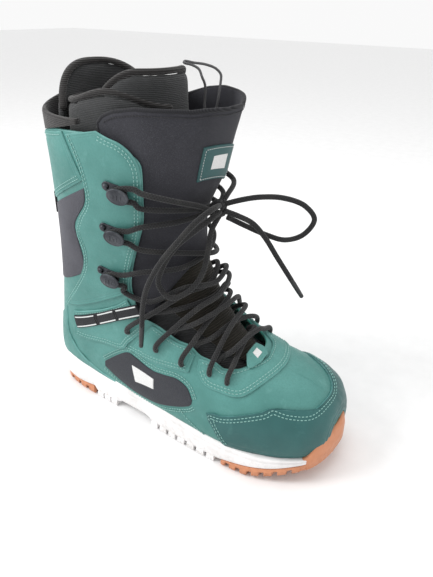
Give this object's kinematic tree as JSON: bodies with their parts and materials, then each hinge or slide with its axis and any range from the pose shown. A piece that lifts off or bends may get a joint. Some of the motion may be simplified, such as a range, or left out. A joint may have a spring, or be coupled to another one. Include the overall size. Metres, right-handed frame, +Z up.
{
  "type": "lace-up snowboard boot",
  "caption": "High lace-up snowboard boot for the right foot in green leather and dark softshell, with padded inner boot, lace hooks, tied bow and gum tread sole.",
  "frame": {"origin": "centre of the plan outline's bounding box, on the ground under the sole", "axes": "+X towards the toe, +Y towards the inner (medial) side of the right foot, +Z up"},
  "size_m": [0.3164, 0.136, 0.3345],
  "materials": {
    "green_leather": "pebbled teal green leather, semi matt",
    "dark_green_leather": "smooth dark green leather",
    "green_lining": "brushed green lining",
    "softshell": "charcoal woven softshell, matt",
    "webbing": "black webbing",
    "liner_knit": "black brown ribbed knit over foam",
    "lace_cord": "braided dark brown round cord",
    "gunmetal": "dark gunmetal, satin",
    "white_foam": "off-white moulded foam rubber",
    "gum_rubber": "gum brown rubber",
    "board": "black fibre board"
  },
  "bodies": {
    "foot": {"midsole": "white_foam", "outsole_heel": "gum_rubber", "outsole_forefoot": "gum_rubber", "upper_foot": "green_leather", "lace_foot_a": "lace_cord", "lace_foot_b": "lace_cord", "insole_board": "board", "liner_shoe": "liner_knit", "footbed": "softshell", "tongue_foot": "softshell", "toe_cap": "dark_green_leather", "throat_overlay": "green_leather", "heel_counter": "dark_green_leather", "lateral_ankle_panel": "green_leather", "lateral_eyestay": "green_leather", "lateral_side_panel": "softshell", "lateral_ankle_strap": "webbing", "medial_ankle_panel": "green_leather", "medial_eyestay": "green_leather", "medial_side_panel": "softshell", "medial_ankle_strap": "webbing"},
    "shaft": {"upper_shaft": "green_lining", "liner_cuff": "liner_knit", "liner_back_flap": "liner_knit", "liner_tongue": "liner_knit", "tongue_shaft": "softshell", "tongue_badge": "dark_green_leather", "rear_collar_panel": "green_leather", "back_panel": "softshell", "collar_binding": "liner_knit", "rear_tab": "webbing", "lace_knot": "lace_cord", "lace_shaft_a": "lace_cord", "lace_shaft_b": "lace_cord", "bow_loop_lateral": "lace_cord", "bow_loop_medial": "lace_cord", "lace_end_lateral": "lace_cord", "lace_end_medial": "lace_cord", "aglet_lateral": "board", "aglet_medial": "board", "liner_pull_cord": "lace_cord", "lateral_cuff_panel": "green_leather", "lateral_hook_1": "gunmetal", "lateral_hook_2": "gunmetal", "lateral_hook_3": "gunmetal", "medial_cuff_panel": "green_leather", "medial_hook_1": "gunmetal", "medial_hook_2": "gunmetal", "medial_hook_3": "gunmetal"},
    "toe_tag_flap": {"toe_tag": "green_leather"}
  },
  "joints": [
    {"name": "ankle_flex", "type": "hinge", "parent": "foot", "child": "shaft", "pos_m": [-0.035, 0, 0.134], "axis": [0, 1, 0], "range_deg": [0, 7], "stiffness_Nm_per_rad": 15},
    {"name": "toe_tag_lift", "type": "hinge", "parent": "foot", "child": "toe_tag_flap", "pos_m": [0.0855, 0, 0.099], "axis": [0, 1, 0], "range_deg": [0, 35]}
  ]
}
